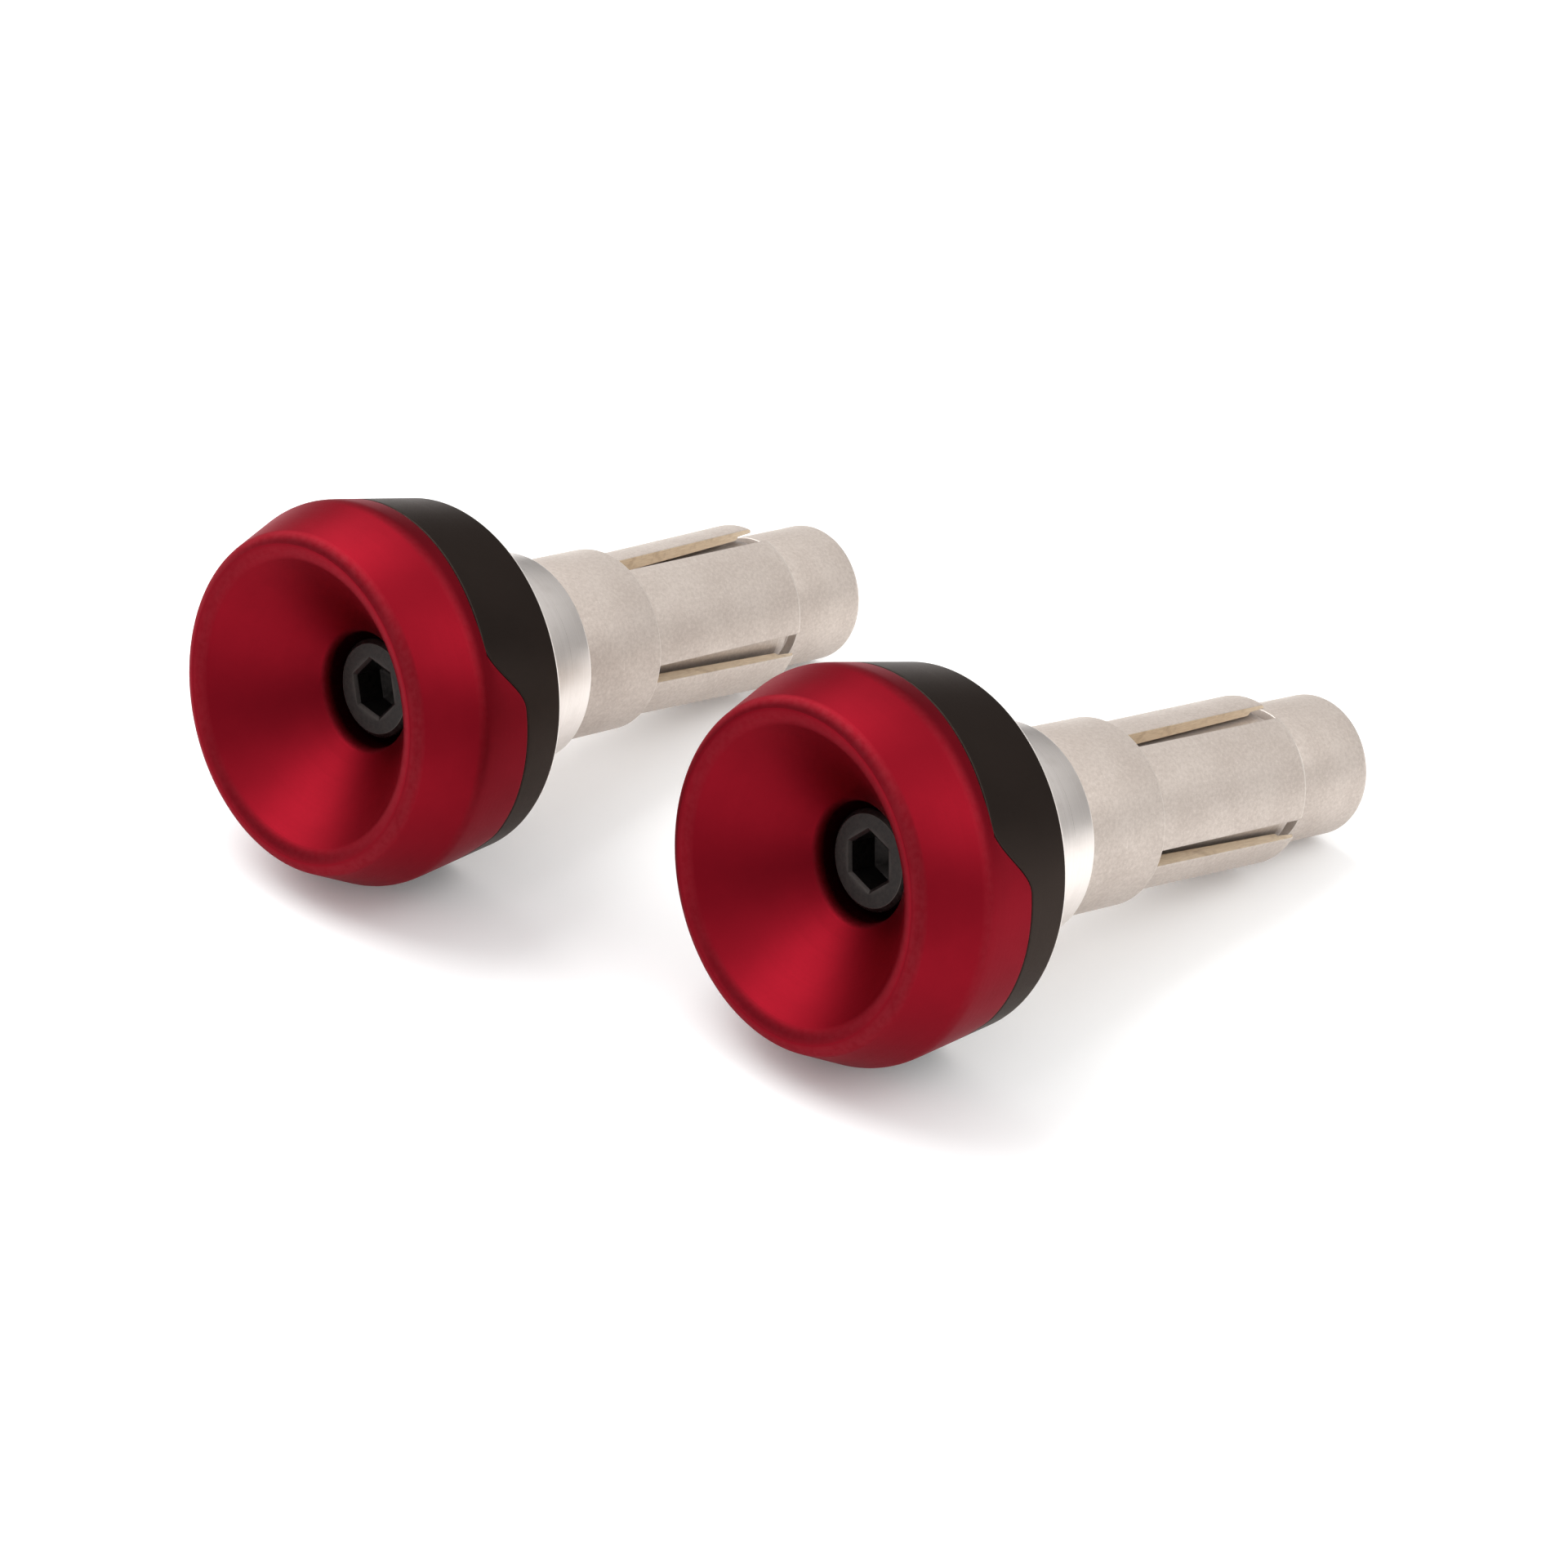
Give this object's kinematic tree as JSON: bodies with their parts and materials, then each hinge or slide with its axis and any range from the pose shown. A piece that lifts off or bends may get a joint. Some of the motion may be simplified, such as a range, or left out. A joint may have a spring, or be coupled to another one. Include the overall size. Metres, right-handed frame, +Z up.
{
  "type": "bar end weight pair",
  "caption": "Expanding bar end weights with dished cap, base ring, collar and slotted sleeve spread by a screw and wedge nut.",
  "frame": {"origin": "on the surface under the middle of the pair's box", "axes": "+Z up, +Y from the heads towards the tails of the left bar end, +X to the right bar end"},
  "size_m": [0.0924, 0.0928, 0.039],
  "materials": {
    "red_anodised": "satin red anodised, turned",
    "black_anodised": "satin black anodised",
    "turned_aluminium": "bright turned",
    "tumbled_aluminium": "dull tumbled",
    "black_oxide_steel": "black oxide"
  },
  "bodies": {
    "root": {"left_cap": "red_anodised", "left_base_ring": "black_anodised", "left_collar": "turned_aluminium", "left_sleeve": "tumbled_aluminium", "right_cap": "red_anodised", "right_base_ring": "black_anodised", "right_collar": "turned_aluminium", "right_sleeve": "tumbled_aluminium"},
    "left_screw": {"left_clamp_screw": "black_oxide_steel"},
    "left_nut": {"left_wedge_nut": "tumbled_aluminium"},
    "left_finger_1": {"left_finger_1": "tumbled_aluminium"},
    "left_finger_2": {"left_finger_2": "tumbled_aluminium"},
    "left_finger_3": {"left_finger_3": "tumbled_aluminium"},
    "left_finger_4": {"left_finger_4": "tumbled_aluminium"},
    "right_screw": {"right_clamp_screw": "black_oxide_steel"},
    "right_nut": {"right_wedge_nut": "tumbled_aluminium"},
    "right_finger_1": {"right_finger_1": "tumbled_aluminium"},
    "right_finger_2": {"right_finger_2": "tumbled_aluminium"},
    "right_finger_3": {"right_finger_3": "tumbled_aluminium"},
    "right_finger_4": {"right_finger_4": "tumbled_aluminium"}
  },
  "joints": [
    {"name": "left_nut_slide", "type": "slide", "parent": "root", "child": "left_nut", "axis": [0, -0.9822, 0.1876], "range_m": [-0.001, 0.002]},
    {"name": "left_screw_turn", "type": "hinge", "parent": "root", "child": "left_screw", "pos_m": [-0.02676, -0.02528, 0.01766], "axis": [0, 0.9822, -0.1876], "range_deg": [-361, 721]},
    {"name": "left_finger_1_flex", "type": "hinge", "parent": "root", "child": "left_finger_1", "pos_m": [-0.02095, -0.00184, 0.01833], "axis": [0.6561, -0.1416, -0.7413], "range_deg": [-0.51, 1.01]},
    {"name": "left_finger_2_flex", "type": "hinge", "parent": "root", "child": "left_finger_2", "pos_m": [-0.0217, -0.00388, 0.00766], "axis": [-0.7547, -0.1231, -0.6444], "range_deg": [-0.51, 1.01]},
    {"name": "left_finger_3_flex", "type": "hinge", "parent": "root", "child": "left_finger_3", "pos_m": [-0.03257, -0.00373, 0.0084], "axis": [-0.6561, 0.1416, 0.7413], "range_deg": [-0.51, 1.01]},
    {"name": "left_finger_4_flex", "type": "hinge", "parent": "root", "child": "left_finger_4", "pos_m": [-0.03181, -0.00169, 0.01907], "axis": [0.7547, 0.1231, 0.6444], "range_deg": [-0.51, 1.01]},
    {"name": "right_nut_slide", "type": "slide", "parent": "root", "child": "right_nut", "axis": [-0.0784, -0.9791, 0.1876], "range_m": [-0.001, 0.002]},
    {"name": "right_screw_turn", "type": "hinge", "parent": "root", "child": "right_screw", "pos_m": [0.02771, -0.01017, 0.01766], "axis": [0.0784, 0.9791, -0.1876], "range_deg": [-361, 721]},
    {"name": "right_finger_1_flex", "type": "hinge", "parent": "root", "child": "right_finger_1", "pos_m": [0.03583, 0.01259, 0.01776], "axis": [0.5667, -0.1986, -0.7997], "range_deg": [-0.51, 1.01]},
    {"name": "right_finger_2_flex", "type": "hinge", "parent": "root", "child": "right_finger_2", "pos_m": [0.03387, 0.01072, 0.00721], "axis": [-0.8202, -0.0436, -0.5704], "range_deg": [-0.51, 1.01]},
    {"name": "right_finger_3_flex", "type": "hinge", "parent": "root", "child": "right_finger_3", "pos_m": [0.02319, 0.01192, 0.00897], "axis": [-0.5667, 0.1986, 0.7997], "range_deg": [-0.51, 1.01]},
    {"name": "right_finger_4_flex", "type": "hinge", "parent": "root", "child": "right_finger_4", "pos_m": [0.02515, 0.01378, 0.01952], "axis": [0.8202, 0.0436, 0.5704], "range_deg": [-0.51, 1.01]}
  ],
  "couplings": [
    {"joint": "left_screw_turn", "follows": "left_nut_slide", "rad_per_m": 6283.2},
    {"joint": "left_finger_1_flex", "follows": "left_nut_slide", "rad_per_m": 8.7266},
    {"joint": "left_finger_2_flex", "follows": "left_nut_slide", "rad_per_m": 8.7266},
    {"joint": "left_finger_3_flex", "follows": "left_nut_slide", "rad_per_m": 8.7266},
    {"joint": "left_finger_4_flex", "follows": "left_nut_slide", "rad_per_m": 8.7266},
    {"joint": "right_screw_turn", "follows": "right_nut_slide", "rad_per_m": 6283.2},
    {"joint": "right_finger_1_flex", "follows": "right_nut_slide", "rad_per_m": 8.7266},
    {"joint": "right_finger_2_flex", "follows": "right_nut_slide", "rad_per_m": 8.7266},
    {"joint": "right_finger_3_flex", "follows": "right_nut_slide", "rad_per_m": 8.7266},
    {"joint": "right_finger_4_flex", "follows": "right_nut_slide", "rad_per_m": 8.7266}
  ]
}
